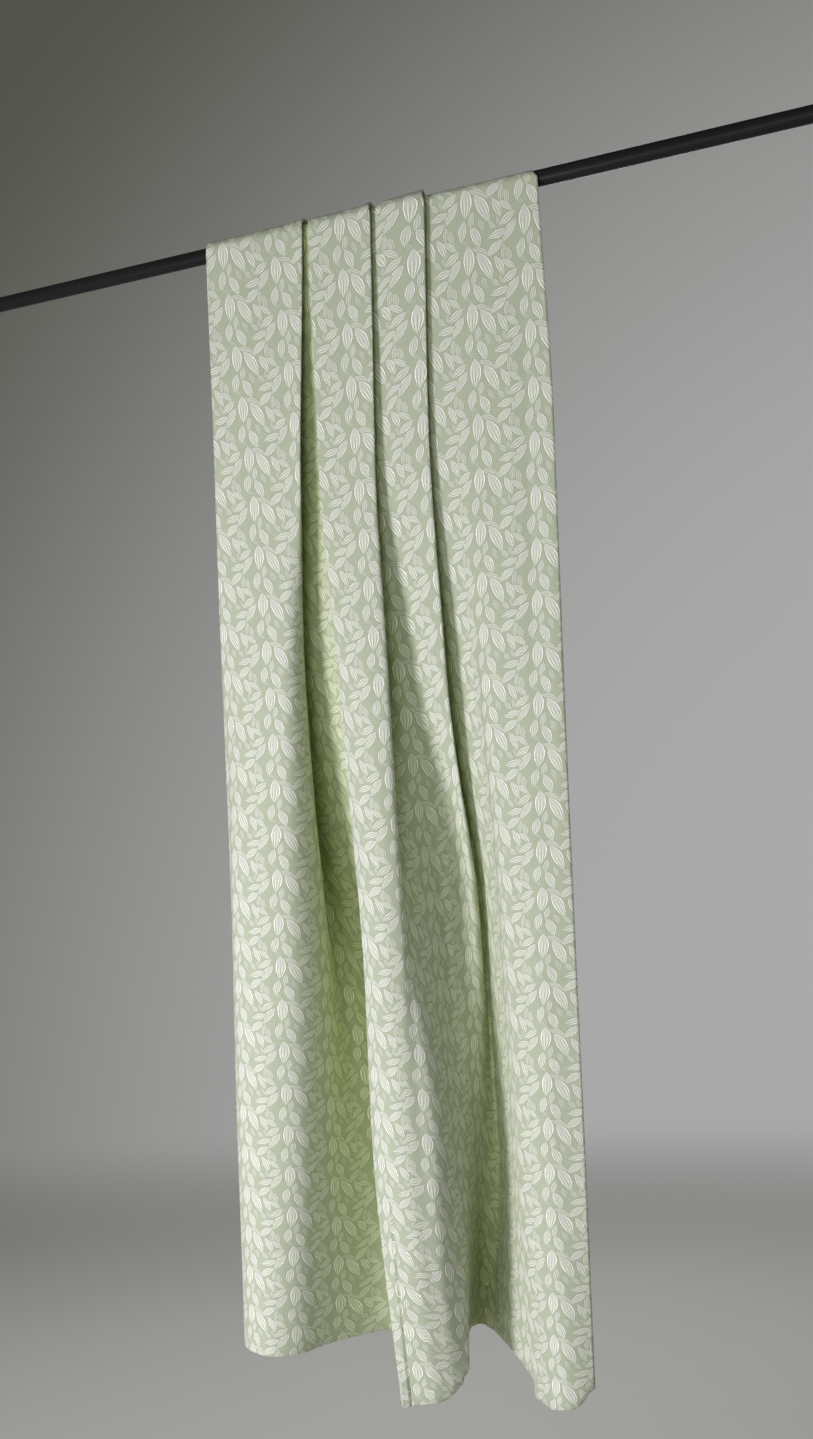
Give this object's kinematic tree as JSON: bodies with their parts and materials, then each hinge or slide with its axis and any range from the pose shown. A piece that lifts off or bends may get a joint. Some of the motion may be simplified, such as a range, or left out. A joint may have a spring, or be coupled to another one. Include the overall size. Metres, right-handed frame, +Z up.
{
  "type": "curtain draped over a rod",
  "caption": "Length of leaf-printed cloth hung as a curtain over a plain round rod, falling in uneven pleats that open out towards the hem.",
  "frame": {"origin": "on the rod's axis, at the middle of its length", "axes": "+X along the rod, to the right as seen from the front; +Y to the back, where the short fall hangs; +Z up"},
  "size_m": [2, 0.2525, 2.0137],
  "materials": {
    "printed_cotton": "matte plain weave, sage green ground printed with pale leaves",
    "black_paint": "satin black"
  },
  "bodies": {
    "root": {"curtain": "printed_cotton", "rod": "black_paint"}
  },
  "joints": []
}
